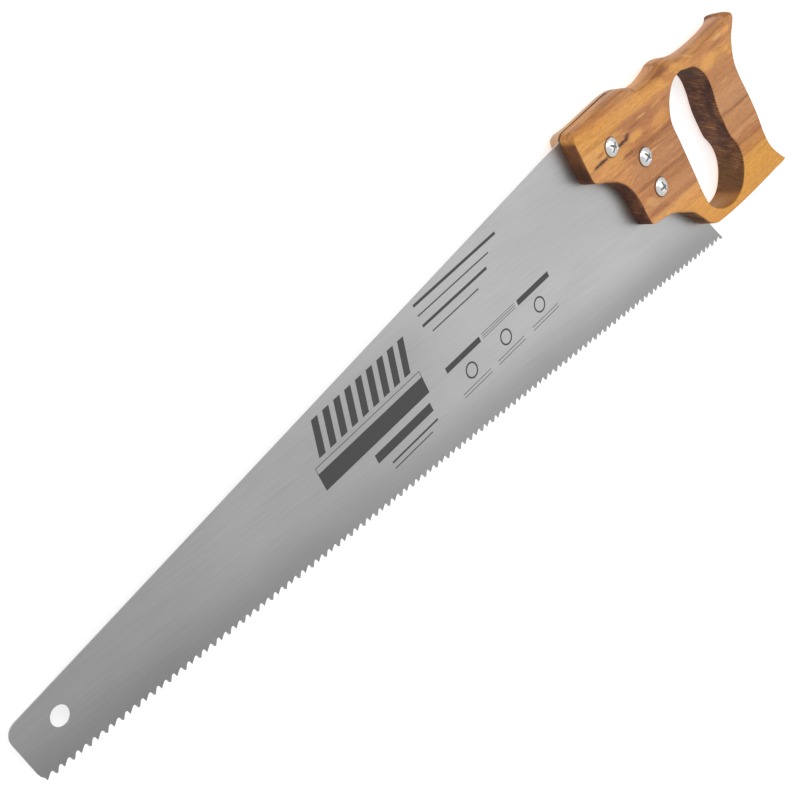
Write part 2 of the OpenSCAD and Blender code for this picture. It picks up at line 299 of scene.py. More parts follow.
# ---------------------------------------------------------------- node helpers
class Nodes:
    """Short calls for building a node material; a value may be a number or another node's socket."""

    def __init__(self, name):
        self.material = bpy.data.materials.new(name)
        self.material.use_nodes = True
        self.tree = self.material.node_tree
        self.shader = self.tree.nodes["Principled BSDF"]
        coords = self.tree.nodes.new("ShaderNodeTexCoord").outputs["Object"]
        to_plan = self.tree.nodes.new("ShaderNodeVectorMath")
        to_plan.operation = "SUBTRACT"
        self.tree.links.new(coords, to_plan.inputs[0])
        to_plan.inputs[1].default_value = (heel_x, tooth_line_y, 0)
        scale = self.tree.nodes.new("ShaderNodeVectorMath")
        scale.operation = "SCALE"
        self.tree.links.new(to_plan.outputs[0], scale.inputs[0])
        scale.inputs["Scale"].default_value = 1 / MM
        self.plan = scale.outputs[0]

    def put(self, value, socket):
        if isinstance(value, bpy.types.NodeSocket):
            self.tree.links.new(value, socket)
        elif socket.type == "RGBA" and len(value) == 3:
            socket.default_value = (*value, 1)
        else:
            socket.default_value = value

    def math(self, operation, *values, clamp=False):
        node = self.tree.nodes.new("ShaderNodeMath")
        node.operation = operation
        node.use_clamp = clamp
        for value, socket in zip(values, node.inputs):
            self.put(value, socket)
        return node.outputs[0]

    def times(self, a, b):
        return self.math("MULTIPLY", a, b)

    def plus(self, a, b):
        return self.math("ADD", a, b)

    def minus(self, a, b):
        return self.math("SUBTRACT", a, b)

    def axes(self, vector):
        node = self.tree.nodes.new("ShaderNodeSeparateXYZ")
        self.put(vector, node.inputs[0])
        return node.outputs[0], node.outputs[1], node.outputs[2]

    def vector(self, x, y, z):
        node = self.tree.nodes.new("ShaderNodeCombineXYZ")
        for value, socket in zip((x, y, z), node.inputs):
            self.put(value, socket)
        return node.outputs[0]

    def vector_length(self, vector):
        node = self.tree.nodes.new("ShaderNodeVectorMath")
        node.operation = "LENGTH"
        self.put(vector, node.inputs[0])
        return node.outputs["Value"]

    def distance(self, x, y, centre):
        """How far the point x, y is from a fixed centre."""
        return self.vector_length(self.vector(self.minus(x, centre[0]), self.minus(y, centre[1]), 0))

    def mapping(self, vector, turn=0.0, scale=(1, 1, 1)):
        """Scale, then turn about Z in degrees."""
        node = self.tree.nodes.new("ShaderNodeMapping")
        self.put(vector, node.inputs["Vector"])
        node.inputs["Rotation"].default_value = (0, 0, math.radians(turn))
        node.inputs["Scale"].default_value = scale
        return node.outputs[0]

    def noise(self, vector, scale=1.0, detail=4.0, rough=0.5, distortion=0.0):
        node = self.tree.nodes.new("ShaderNodeTexNoise")
        self.put(vector, node.inputs["Vector"])
        node.inputs["Scale"].default_value = scale
        node.inputs["Detail"].default_value = detail
        node.inputs["Roughness"].default_value = rough
        node.inputs["Distortion"].default_value = distortion
        return node.outputs["Fac"]

    def ramp(self, value, stops):
        """Straight steps between stops: (position, colour or grey)."""
        node = self.tree.nodes.new("ShaderNodeValToRGB")
        self.put(value, node.inputs["Fac"])
        node.color_ramp.interpolation = "LINEAR"
        elements = node.color_ramp.elements
        while len(elements) < len(stops):
            elements.new(0.5)
        for element, (position, colour) in zip(elements, stops):
            element.position = position
            element.color = (*colour, 1) if isinstance(colour, tuple) else (*(colour,) * 3, 1)
        return node.outputs["Color"]

    def blend(self, amount, a, b, mode="MIX"):
        node = self.tree.nodes.new("ShaderNodeMix")
        node.data_type = "RGBA"
        node.blend_type = mode
        self.put(amount, node.inputs["Factor"])
        self.put(a, node.inputs["A"])
        self.put(b, node.inputs["B"])
        return node.outputs["Result"]

    def range(self, value, low, high, to_low=0.0, to_high=1.0):
        """Smooth step of value between low and high."""
        node = self.tree.nodes.new("ShaderNodeMapRange")
        node.interpolation_type = "SMOOTHSTEP"
        self.put(value, node.inputs["Value"])
        ends = {"From Min": low, "From Max": high, "To Min": to_low, "To Max": to_high}
        for name, number in ends.items():
            node.inputs[name].default_value = number
        return node.outputs["Result"]

    def bump(self, height, strength, distance):
        node = self.tree.nodes.new("ShaderNodeBump")
        node.inputs["Strength"].default_value = strength
        node.inputs["Distance"].default_value = distance
        self.put(height, node.inputs["Height"])
        return node.outputs["Normal"]

    def surface(self, **sockets):
        for name, value in sockets.items():
            self.put(value, self.shader.inputs[name.replace("_", " ")])


def srgb(red, green, blue):
    """A screen colour, 0 to 255, as linear light."""
    def linear(c):
        c /= 255
        return c / 12.92 if c <= 0.04045 else ((c + 0.055) / 1.055) ** 2.4
    return (linear(red), linear(green), linear(blue))


# ---------------------------------------------------------------- shared sizes
HEAD_R = 5
HEAD_RIM = 0.8
SCREW_HEAD = cad_high.z / MM - FRONT_FACE
NUT_HEAD = BACK_FACE


def dome_radius(rise):
    """Radius of the sphere whose cap is as wide as a head and rises this far."""
    return (HEAD_R ** 2 + rise ** 2) / (2 * rise)


# ---------------------------------------------------------------- wood
# Colours across the board by height above the tooth line, at three places along the handle
FRONT_BANDS = [
    (70, (210, 146, 92)), (77, (222, 162, 98)), (79.5, (208, 150, 96)), (81.5, (200, 140, 86)),
    (83, (222, 164, 98)), (91.5, (226, 170, 104)), (92.6, (194, 134, 72)), (93.8, (222, 162, 84)),
    (97, (228, 168, 88)), (101, (224, 160, 78)), (103.4, (208, 144, 74)), (104.8, (182, 120, 60)),
    (106, (212, 150, 84)), (108, (196, 134, 76)), (110, (212, 152, 90)), (113, (206, 152, 100)),
]
MIDDLE_BANDS = [
    (13, (224, 160, 76)), (30, (226, 164, 84)), (36, (222, 160, 92)), (38.5, (228, 170, 104)),
    (40.5, (206, 146, 98)), (42.3, (170, 110, 68)), (44.5, (200, 144, 102)), (50, (198, 142, 96)),
    (53, (184, 124, 76)), (56, (192, 136, 94)), (58.4, (158, 104, 62)), (60.5, (190, 134, 92)),
    (70, (194, 138, 96)), (76, (184, 126, 82)), (78, (158, 102, 64)), (80, (188, 126, 76)),
    (86, (190, 130, 84)), (94.5, (196, 136, 90)), (96.5, (222, 162, 88)), (103, (226, 166, 92)),
    (105.5, (200, 142, 92)), (113, (196, 146, 110)),
]
REAR_BANDS = [
    (13, (220, 156, 66)), (20, (224, 162, 72)), (30, (222, 160, 66)), (36, (222, 164, 76)),
    (37, (184, 122, 56)), (38, (204, 142, 74)), (39, (184, 122, 58)), (41, (204, 142, 78)),
    (43, (200, 140, 80)), (43.8, (168, 110, 62)), (45.5, (186, 126, 80)), (48, (184, 124, 78)),
    (50, (206, 152, 104)), (52, (204, 148, 96)), (53.4, (178, 122, 78)), (55, (194, 138, 94)),
    (63, (200, 146, 98)), (64.3, (184, 130, 86)), (65.6, (152, 104, 68)), (67, (190, 138, 98)),
    (70, (204, 152, 110)), (78, (200, 146, 102)), (82, (190, 134, 90)), (91, (194, 136, 90)),
    (94, (206, 150, 90)), (99, (214, 156, 92)), (101, (196, 136, 88)), (104, (200, 142, 98)),
    (113, (186, 132, 92)),
]
BAND_SPAN = 125
# The place along the handle that each list is for, with where it hands over to the next one
ZONES = [(-80, FRONT_BANDS, (-74, -56)), (-40, MIDDLE_BANDS, (-8, 16)), (35, REAR_BANDS, None)]
GRAIN_SLOPE = 0.06
GOLD = (230, 170, 96)
HONEY = (238, 192, 130)
BROWN = (176, 116, 74)
UMBER = (144, 90, 56)
PLUM = (76, 44, 38)
# Soft patches, then dark knots: X, Y, half length, half width, lean in degrees, colour, strength
PATCHES = [
    (-53.5, 84.3, 7, 2.8, 6, GOLD, 0.85), (-31, 84.5, 9, 4.5, 12, GOLD, 0.55),
    (-72, 80.6, 15, 1.6, 3, GOLD, 0.6), (-48, 90.5, 18, 4, 1, BROWN, 0.6),
    (-20, 106, 9, 3.4, -4, UMBER, 0.85), (-14, 100.5, 8, 3, -15, BROWN, 0.5),
    (-45, 91.7, 4, 0.6, 3, HONEY, 0.55), (-43.5, 72, 4.5, 0.7, 4, HONEY, 0.5),
    (-66, 71.2, 5, 0.7, 5, HONEY, 0.45), (-30, 93, 6, 0.8, 8, GOLD, 0.6),
    (-66, 64, 5, 0.5, 30, HONEY, 0.3), (-56, 48, 6, 2.4, -30, HONEY, 0.35),
    (20, 95.5, 9, 4.2, 14, GOLD, 0.9), (34, 104.4, 4, 1, 5, HONEY, 0.6),
    (41.5, 105, 5, 1.6, 16, GOLD, 0.9), (38, 96, 3.4, 1.2, 6, GOLD, 0.85),
    (40.5, 93, 2, 1, 8, GOLD, 0.7), (15, 107.4, 4, 1.2, -10, HONEY, 0.6),
    (6.5, 104.3, 4, 0.9, -24, HONEY, 0.6), (28.5, 80.7, 4, 0.4, 9, HONEY, 0.5),
    (30, 101.5, 9, 1, 10, UMBER, 0.4), (46, 34, 7, 0.6, 4, UMBER, 0.35),
    (-74, 104.6, 20, 0.8, 1, BROWN, 0.5), (-82, 97, 9, 0.5, 2, BROWN, 0.35),
]
KNOTS = [
    (-83.8, 82.5, 8.2, 1, 7, PLUM, 0.95), (-83, 86.2, 3.4, 1, 8, BROWN, 0.8),
    (-65.2, 85, 6.0, 1.2, 5, PLUM, 0.95), (-60.2, 86.4, 2.6, 1.5, 25, PLUM, 0.8),
    (-62.5, 77.8, 5.5, 1.1, 3, UMBER, 0.85), (-52, 89.6, 5, 0.9, 4, UMBER, 0.5),
]
# Radius of the painted shade ring round each screw and nut head
HEAD_SHADE_R = 5.0
# Takes out the white that the oil finish adds by reflection
WOOD_TINT = (0.90, 0.83, 0.71)


def wood_bands(n, x, level, waver):
    """Colour of the board's bands, with frayed borders between the zones along it."""
    colour = None
    handover = None
    for zone_x, bands, next_handover in ZONES:
        height = n.minus(level, n.times(n.minus(x, zone_x), GRAIN_SLOPE))
        stops = [(band / BAND_SPAN, srgb(*tone)) for band, tone in bands]
        zone_colour = n.ramp(n.math("DIVIDE", height, BAND_SPAN, clamp=True), stops)
        if colour is None:
            colour = zone_colour
        else:
            frayed = n.plus(x, n.math("MULTIPLY_ADD", waver, 40, -20))
            colour = n.blend(n.range(frayed, *handover), colour, zone_colour)
        handover = next_handover
    return colour


def wood_figure(n, grain, colour):
    """Adds long soft streaks, fine fibres, grit and pores, and gives back the masks used elsewhere."""
    streaks = n.noise(n.mapping(grain, scale=(0.02, 0.55, 0.45)), detail=5, rough=0.62)
    colour = n.blend(n.times(n.range(streaks, 0.53, 0.68), 0.38), colour, srgb(156, 100, 58))
    colour = n.blend(n.times(n.range(streaks, 0.47, 0.34), 0.28), colour, srgb(232, 178, 112))
    fibres = n.noise(n.mapping(grain, scale=(0.05, 1.6, 1.2)), detail=7, rough=0.72)
    colour = n.blend(0.8, colour, n.ramp(fibres, [(0.32, 0.77), (0.5, 1.0), (0.68, 1.16)]), "MULTIPLY")
    grit = n.noise(n.mapping(grain, scale=(0.30, 1.9, 1.5)), detail=4, rough=0.65)
    colour = n.blend(0.8, colour, n.ramp(grit, [(0.34, 0.80), (0.5, 1.01), (0.66, 1.14)]), "MULTIPLY")
    pores = n.range(n.noise(n.mapping(grain, scale=(0.16, 3.4, 3.0)), detail=3), 0.60, 0.74)
    colour = n.blend(n.times(pores, 0.22), colour, srgb(120, 72, 42))
    return colour, streaks, fibres, pores


def wood_mark(n, x, y, ragged, mark):
    """Mask of one long patch or knot with a ragged rim, and its colour."""
    mark_x, mark_y, half_length, half_width, lean, colour, strength = mark
    local = n.vector(n.minus(x, mark_x), n.minus(y, mark_y), 0)
    to_unit = (1 / half_length, 1 / half_width, 1)
    reach = n.vector_length(n.mapping(n.mapping(local, turn=-lean), scale=to_unit))
    return n.range(n.plus(reach, ragged), 1.3, 0.45, 0, strength), srgb(*colour)


def wood_marks(n, x, y, z, ragged, colour):
    """Adds patches and knots on the front, and painted shade round every screw and nut head."""
    front_only = n.range(z, FRONT_FACE - 8, FRONT_FACE - 5)
    for mark in PATCHES + KNOTS:
        mask, mark_colour = wood_mark(n, x, y, ragged, mark)
        colour = n.blend(n.times(mask, front_only), colour, mark_colour)
    for fixing in FIXINGS:
        away = n.plus(n.distance(x, y, fixing), n.times(ragged, 0.55))
        # Painted shade where each head sits on the wood, darkest at the head's rim
        head_shade = n.range(away, HEAD_SHADE_R + 0.8, HEAD_SHADE_R, 0, 0.8)
        colour = n.blend(head_shade, colour, srgb(66, 38, 28))
    return colour


def end_grain(n, x, y, z, normal_x, fibres):
    """Walls that cross the fibres: dark, with lines and pale torn hairs through the thickness."""
    hair_space = n.vector(n.times(x, 0.12), n.math("MULTIPLY_ADD", z, 0.25, y), n.times(z, 0.14))
    hairs = n.noise(hair_space, scale=1.15, detail=6, rough=0.78, distortion=0.5)
    clumps = n.noise(n.mapping(n.plan, scale=(0.07, 0.07, 0.1)), detail=4, rough=0.6)
    tones = [(0.34, srgb(50, 26, 24)), (0.5, srgb(86, 50, 42)), (0.66, srgb(122, 78, 54))]
    colour = n.ramp(clumps, tones)
    warm_low = n.times(n.range(y, 46, 24), n.range(x, -20, 0))
    colour = n.blend(n.times(warm_low, 0.75), colour, srgb(116, 80, 44))
    hair_mask = n.times(n.range(hairs, 0.51, 0.61), n.range(clumps, 0.40, 0.58, 0.15, 1.0))
    hair_mask = n.times(hair_mask, n.range(x, -50, -10, 0.25, 1.0))
    colour = n.blend(hair_mask, colour, srgb(164, 122, 80))
    colour = n.blend(n.times(n.range(hairs, 0.49, 0.38), 0.8), colour, srgb(30, 15, 16))

    # The front end wall is a warmer brown towards its top
    end_wall = n.times(n.range(x, -84, -89), n.range(y, 76, 92, 0.25, 0.75))
    wall_tone = n.ramp(clumps, [(0.4, srgb(98, 56, 38)), (0.62, srgb(142, 92, 56))])
    colour = n.blend(end_wall, colour, wall_tone)

    soft_edge = n.times(n.minus(fibres, 0.5), 0.35)
    amount = n.range(n.plus(n.math("ABSOLUTE", normal_x), soft_edge), 0.28, 0.62, 0.0, 0.95)
    return colour, amount, hairs


def slot_shade_and_smudge(n, x, y, z, ragged, upward):
    """Painted shade on the edges where the sawn slot opens along the top, and one dark smudge beside
    it.
    """
    slot_away = n.math("ABSOLUTE", n.minus(z, BLADE_MIDDLE))
    # Painted shade in the sawn slot and along its rims
    slot_shade = n.times(n.range(slot_away, 1.1, 0.6, 0.0, 0.8), n.range(x, -46, -54))
    slot_shade = n.times(slot_shade, n.range(x, -62, -80, 1.0, 0.4))
    smudge_x, smudge_z = -55, BLADE_FRONT + 0.6
    half_length, half_width = 6, 1.6
    smudge_away = n.vector_length(n.vector(
        n.math("DIVIDE", n.minus(x, smudge_x), half_length),
        n.math("DIVIDE", n.minus(z, smudge_z), half_width),
        0,
    ))
    smudge_away = n.plus(smudge_away, n.times(ragged, 0.4))
    smudge = n.times(n.range(smudge_away, 1.2, 0.5, 0, 0.75), upward)
    return n.times(n.math("MAXIMUM", slot_shade, smudge), n.range(y, 96, 101))


def top_edge(n, x, y, z, normal_y, ragged, streaks, colour):
    """Adds painted shade in the slot and on the grip hole floor, a smudge, and tones beside the slot.
    """
    upward = n.times(n.range(normal_y, 0.15, 0.8), n.range(y, 98, 103))
    # Painted shade along the slot, together with the dark smudge
    colour = n.blend(slot_shade_and_smudge(n, x, y, z, ragged, upward), colour, srgb(58, 34, 26))
    top_front = n.times(upward, n.range(z, BLADE_FRONT, BLADE_FRONT + 1, 0, 0.55))
    top_tone = n.ramp(streaks, [(0.4, srgb(196, 138, 70)), (0.6, srgb(128, 80, 40))])
    colour = n.blend(top_front, colour, top_tone)
    top_back = n.times(upward, n.range(z, BLADE_FRONT, BLADE_BACK, 0, 0.5))
    colour = n.blend(n.times(top_back, n.range(x, -44, -56)), colour, srgb(190, 172, 148))
    # Painted shade on the upward-facing floor of the grip hole
    hole_floor_shade = n.times(n.range(normal_y, 0.4, 0.9), n.range(y, 60, 40, 0, 0.6))
    return n.blend(hole_floor_shade, colour, srgb(120, 74, 38))


def wood_material():
    n = Nodes("oiled_hardwood")
    x, y, z = n.axes(n.plan)
    normal_x, normal_y, _ = n.axes(n.tree.nodes.new("ShaderNodeNewGeometry").outputs["Normal"])
    drift = n.noise(n.mapping(n.plan, scale=(0.02, 0.06, 0.06)), detail=3)
    waver = n.noise(n.mapping(n.plan, scale=(0.03, 0.30, 0.25)), detail=4, rough=0.6)
    ragged = n.noise(n.mapping(n.plan, scale=(0.28, 0.9, 0.9)), detail=5, rough=0.7)
    ragged = n.times(n.minus(ragged, 0.5), 1.9)
    wander = n.plus(n.math("MULTIPLY_ADD", drift, 4, -2), n.math("MULTIPLY_ADD", waver, 4.5, -2.25))
    level = n.plus(y, wander)
    grain = n.vector(x, n.minus(level, n.times(x, GRAIN_SLOPE)), z)

    colour = wood_bands(n, x, level, waver)
    colour, streaks, fibres, pores = wood_figure(n, grain, colour)
    colour = wood_marks(n, x, y, z, ragged, colour)
    end_colour, end_amount, hairs = end_grain(n, x, y, z, normal_x, fibres)

    # The nose of the back cheek is paler, and the top front corner is cleaner
    back_nose = n.times(n.range(z, BLADE_FRONT, BLADE_BACK), n.range(n.plus(x, ragged), -86, -97))
    back_nose = n.times(back_nose, n.range(z, BACK_FACE + 0.1, BACK_FACE + 2))
    end_amount = n.times(end_amount, n.math("MULTIPLY_ADD", back_nose, -0.75, 1.0))
    top_corner = n.times(n.range(n.plus(y, ragged), 98.0, 101.0), n.range(x, -80, -90))
    end_amount = n.times(end_amount, n.math("MULTIPLY_ADD", top_corner, -0.7, 1.0))
    colour = n.blend(end_amount, colour, end_colour)
    colour = n.blend(n.times(back_nose, 0.6), colour, srgb(206, 176, 156))
    colour = top_edge(n, x, y, z, normal_y, ragged, streaks, colour)

    relief = n.plus(n.times(fibres, 0.6), n.times(pores, -0.5))
    relief = n.plus(relief, n.times(n.times(hairs, end_amount), 1.5))
    n.surface(
        Base_Color=n.blend(1.0, colour, WOOD_TINT, "MULTIPLY"),
        Roughness=n.plus(n.range(fibres, 0.25, 0.8, 0.42, 0.55), n.times(end_amount, 0.2)),
        Normal=n.bump(relief, 0.35, 0.15 * MM),
        Specular_IOR_Level=0.3,
        Coat_Weight=0.06,
        Coat_Roughness=0.3,
    )
    return n.material


# ---------------------------------------------------------------- steel
PRINT_CORNER = (TOE_X + 170.6, 25.8)
PRINT_LEAN = 6.2
INK = (0.045, 0.044, 0.045)


class Print:
    """Flat marks in the print's own axes, joined into one mask."""

    def __init__(self, nodes, origin, turn):
        self.nodes = nodes
        local = nodes.tree.nodes.new("ShaderNodeVectorMath")
        local.operation = "SUBTRACT"
        nodes.put(nodes.plan, local.inputs[0])
        local.inputs[1].default_value = (*origin, 0)
        self.u, self.v, _ = nodes.axes(nodes.mapping(local.outputs[0], turn=-turn))
        self.mask = None

    def add(self, mask):
        self.mask = mask if self.mask is None else self.nodes.math("MAXIMUM", self.mask, mask)

    def within(self, value, low, high):
        return self.nodes.math("COMPARE", value, (low + high) / 2, (high - low) / 2)

    def bar(self, u0, u1, v0, v1):
        self.add(self.nodes.times(self.within(self.u, u0, u1), self.within(self.v, v0, v1)))

    def frame(self, u0, u1, v0, v1, line):
        self.bar(u0, u1, v0, v0 + line)
        self.bar(u0, u1, v1 - line, v1)
        self.bar(u0, u0 + line, v0, v1)
        self.bar(u1 - line, u1, v0, v1)

    def stripes(self, u0, u1, v0, v1, pitch, width, slant):
        """A row of leaning stripes."""
        n = self.nodes
        leaning = n.minus(self.u, n.times(self.v, slant))
        cell = n.math("FLOORED_MODULO", leaning, pitch)
        inside = n.times(self.within(leaning, u0, u1), self.within(self.v, v0, v1))
        self.add(n.times(self.within(cell, 0, width), inside))

    def ring(self, u, v, radius, line):
        away = self.nodes.distance(self.u, self.v, (u, v))
        self.add(self.within(away, radius - line, radius))


def printed_marks(n):
    """Plain marks only: a bar with an outlined band, a row of stripes, rules and rings."""
    marks = Print(n, PRINT_CORNER, PRINT_LEAN)
    marks.bar(0, 74.6, 0, 8.6)
    marks.frame(0, 74.6, 8.6, 12.2, 0.35)
    marks.stripes(-3, 67, 14.6, 31.5, 7.6, 4.3, 0.32)
    marks.bar(31, 72, -8.8, -4.2)
    marks.bar(38, 72, -14.2, -13.2)
    marks.bar(38, 66, -17.2, -16.6)
    for u0, u1, v, height in (
        (88, 152, 38.5, 1.5), (88, 143, 33.4, 0.7), (88, 138, 27.4, 1.5), (92, 128, 22.4, 0.7),
    ):
        marks.bar(u0, u1, v, v + height)
    marks.bar(88.8, 115.6, 0.4, 3.4)
    marks.bar(146.5, 173, 0.4, 3.4)
    for v in (3.1, 1.9, 0.7):
        marks.bar(117.5, 144.5, v, v + 0.3)
    for u in (103, 131, 159.5):
        marks.ring(u, -7.5, 4.2, 0.9)
    for u in (92, 120, 149):
        for v in (-14.6, -16.4):
            marks.bar(u, u + 22, v, v + 0.35)
    return marks.mask


def steel_material():
    n = Nodes("brushed_steel")
    x, y, z = n.axes(n.plan)
    brushed = n.noise(n.mapping(n.plan, scale=(0.05, 4.5, 1)), detail=6, rough=0.75)
    cross = n.noise(n.mapping(n.plan, turn=35, scale=(0.03, 2.0, 1)), detail=4, rough=0.6)
    cloud = n.noise(n.mapping(n.plan, scale=(0.010, 0.02, 0.02)), detail=3)
    # Painted light: the steel's tone brightens from the toe towards the handle
    along = n.range(x, -480, -60, 0.0, 1.0)
    tone = n.ramp(along, [(0.0, 0.365), (0.2, 0.375), (0.45, 0.39), (1.0, 0.475)])
    tone = n.blend(1.0, tone, n.ramp(brushed, [(0.3, 0.93), (0.7, 1.06)]), "MULTIPLY")
    tone = n.blend(0.5, tone, n.ramp(cross, [(0.35, 0.9), (0.65, 1.08)]), "MULTIPLY")
    tone = n.blend(0.6, tone, n.ramp(cloud, [(0.35, 0.9), (0.65, 1.1)]), "MULTIPLY")
    tone = n.blend(n.range(y, 26, 1, 0.0, 0.45), tone, (0.18, 0.18, 0.18))

    front_only = n.range(z, BLADE_MIDDLE, BLADE_FRONT - 0.2)
    worn = n.noise(n.mapping(n.plan, scale=(0.3, 1.1, 1)), detail=6, rough=0.75)
    ink = n.times(n.times(printed_marks(n), front_only), n.range(worn, 0.80, 0.62, 0.4, 1.0))

    n.surface(
        Base_Color=n.blend(ink, tone, INK),
        Metallic=n.minus(1.0, n.times(ink, 0.9)),
        Roughness=n.plus(n.range(brushed, 0.25, 0.75, 0.34, 0.46), n.times(ink, 0.12)),
        Normal=n.bump(brushed, 0.25, 0.02 * MM),
    )
    return n.material


# ---------------------------------------------------------------- zinc plate
# Painted shade: the dull grey put into the cross recesses and driver slots
RECESS_SHADE_GREY = (0.36, 0.37, 0.35)


def recess_shade_mask(n):
    """Mask of painted shade in the recesses and slots: the points that lie well under the dome of the
    nearest head.
    """
    x, y, z = n.axes(n.plan)
    away = None
    for fixing in FIXINGS:
        one = n.distance(x, y, fixing)
        away = one if away is None else n.math("MINIMUM", away, one)
    screw_depth = n.minus(FRONT_FACE + SCREW_HEAD, z)
    screw_side = n.range(z, FRONT_FACE - 0.2, FRONT_FACE)
    nut_side = n.range(z, BACK_FACE, BACK_FACE - 0.2)
    recess_shade = None
    for depth, head, side in ((screw_depth, SCREW_HEAD, screw_side), (z, NUT_HEAD, nut_side)):
        sag = n.math("DIVIDE", n.times(away, away), 2 * dome_radius(head - HEAD_RIM))
        one = n.times(n.range(n.minus(depth, sag), 0.15, 0.7), side)
        recess_shade = one if recess_shade is None else n.math("MAXIMUM", recess_shade, one)
    return n.times(recess_shade, n.range(away, 4.4, 4.1))


def zinc_material():
    n = Nodes("plated_steel")
    mottle = n.noise(n.mapping(n.plan, scale=(0.9, 0.9, 0.9)), detail=4)
    scratch = n.noise(n.mapping(n.plan, turn=20, scale=(0.5, 7, 3)), detail=4, rough=0.7)
    plate = n.ramp(mottle, [(0.3, srgb(222, 224, 222)), (0.7, srgb(238, 240, 241))])
    # Painted shade in the recesses: dull grey, with less metal and more roughness
    recess_shade = recess_shade_mask(n)
    n.surface(
        Base_Color=n.blend(recess_shade, plate, RECESS_SHADE_GREY),
        Metallic=n.minus(1.0, n.times(recess_shade, 0.85)),
        Roughness=n.plus(n.range(scratch, 0.3, 0.75, 0.2, 0.32), n.times(recess_shade, 0.3)),
        Normal=n.bump(scratch, 0.02, 0.01 * MM),
    )
    return n.material


wood = wood_material()
steel = steel_material()
zinc = zinc_material()


# ---------------------------------------------------------------- shared edges
def back_edge(x):
    return TOE_HEIGHT + (x - TOE_X) * BACK_SLOPE


def heel_edge(y):
    return HEEL_FOOT[0] - HEEL_LEAN * (y - HEEL_FOOT[1])


# ---------------------------------------------------------------- handle
EDGE_STEPS = 6
OUTLINE_STEPS = 7
GRIP_STEPS = 8
BORE_STEPS = 40
HANDLE_BORE_R = 3.4
KERF = 1.2
SLOT_PAST_HEEL = 1.6
SLOT_PAST_HEEL_TOP = 9
SLOT_BEND = 50
SLOT_TOP = 120


def make_handle():
    bm = bmesh.new()
    lowest, highest = [], []
    for outline, side, steps in ((HANDLE_OUTLINE, 1, OUTLINE_STEPS), (GRIP_OUTLINE, -1, GRIP_STEPS)):
        walls = rounded_rings(curve_through(outline, steps), side, EDGE_STEPS)
        rings = [add_ring(bm, ring) for ring in walls]
        for a, b in zip(rings, rings[1:]):
            bridge(bm, a, b)
        lowest.append(rings[0])
        highest.append(rings[-1])
    fill_between(bm, lowest)
    fill_between(bm, highest)
    piece = new_object("handle_wood", bm, wood)

    slot = [
        (-SLOT_TOP, 0),
        (heel_edge(0) + SLOT_PAST_HEEL, 0),
        (heel_edge(SLOT_BEND) + SLOT_PAST_HEEL, SLOT_BEND),
        (heel_edge(SLOT_TOP) + SLOT_PAST_HEEL_TOP, SLOT_TOP),
        (-SLOT_TOP, SLOT_TOP),
    ]
    bm = bmesh.new()
    prism(bm, slot, BLADE_MIDDLE - KERF / 2, BLADE_MIDDLE + KERF / 2)
    cut(piece, new_object("slot_cutter", bm))
    bm = bmesh.new()
    for fixing in FIXINGS:
        prism(bm, circle_points(fixing, HANDLE_BORE_R, BORE_STEPS), BACK_FACE - 1, FRONT_FACE + 1)
    cut(piece, new_object("bore_cutter", bm))
    smooth(piece, degrees=32)
    return piece


# ---------------------------------------------------------------- blade
ROOT_LINE = 3.1
TOOTH_SET = 0.24
TOOTH_BEVEL = 0.28
# How far along the pitch each point is, and how deep, as parts of PITCH and TOOTH_DEPTH
TOOTH_SHAPE = [(0, 0), (0.36, 0.7), (0.48, 0.92), (0.62, 1), (0.75, 0.94), (0.85, 0.62)]
# Points past this part of the pitch lean with the next tooth
NEXT_TOOTH = 0.7
CHAMFER = 0.14
BLADE_BORE_R = 3.6
TOE_ROOT = (TOE_X - 1.9, ROOT_LINE)
HEEL_ROOT = (heel_edge(ROOT_LINE), ROOT_LINE)
TOE_CORNER_X = TOE_X - 7
TOE_CORNER_R = 6
CORNER_STEPS = 14
TOE_FOOT = (TOE_X - 2.6, 5)
HIDDEN_FRONT = -92


def round_corner(a, b, c, radius, steps):
    """Arc that rounds the corner at b between a and c."""
    a, b, c = Vector(a), Vector(b), Vector(c)
    to_a, to_c = (a - b).normalized(), (c - b).normalized()
    half = to_a.angle(to_c) / 2
    centre = b + (to_a + to_c).normalized() * radius / math.sin(half)
    start = b + to_a * radius / math.tan(half) - centre
    turn = math.pi - 2 * half
    sign = 1 if start.cross(b + to_c * radius / math.tan(half) - centre) > 0 else -1
    turns = [Matrix.Rotation(sign * turn * k / steps, 2) for k in range(steps + 1)]
    return [tuple(centre + rotation @ start) for rotation in turns]


def tooth_line(x):
    return TOOTH_DROP * (x / TOE_X - 1)


def tooth_points():
    """(x, y, lean) along the teeth, toe to heel; lean is how far that point is set to one side."""
    front_flank = (TOE_X - 0.9, 1.8, 0.2)
    points = [front_flank]
    for i in range(TEETH):
        for part, depth in TOOTH_SHAPE if i < TEETH - 1 else TOOTH_SHAPE[:1]:
            owner = i if part < NEXT_TOOTH else i + 1
            sign = 1 if owner % 2 else -1
            x = TOE_X + (i + part) * PITCH
            points.append((x, tooth_line(x) + depth * TOOTH_DEPTH, sign * (1 - depth)))
    points.append((*HEEL_FOOT, points[-1][2] * 0.7))
    return points


def blade_border():
    """Outline from the heel over the hidden end and along the back edge to the toe."""
    back_corner = (TOE_CORNER_X, back_edge(TOE_CORNER_X))
    border = [HEEL_ROOT, (heel_edge(HIDDEN_TOP), HIDDEN_TOP), (HIDDEN_FRONT, HIDDEN_TOP)]
    border += [(HIDDEN_FRONT, back_edge(HIDDEN_FRONT))]
    border += round_corner((0, back_edge(0)), back_corner, TOE_FOOT, TOE_CORNER_R, CORNER_STEPS)
    return border + [TOE_FOOT, TOE_ROOT]


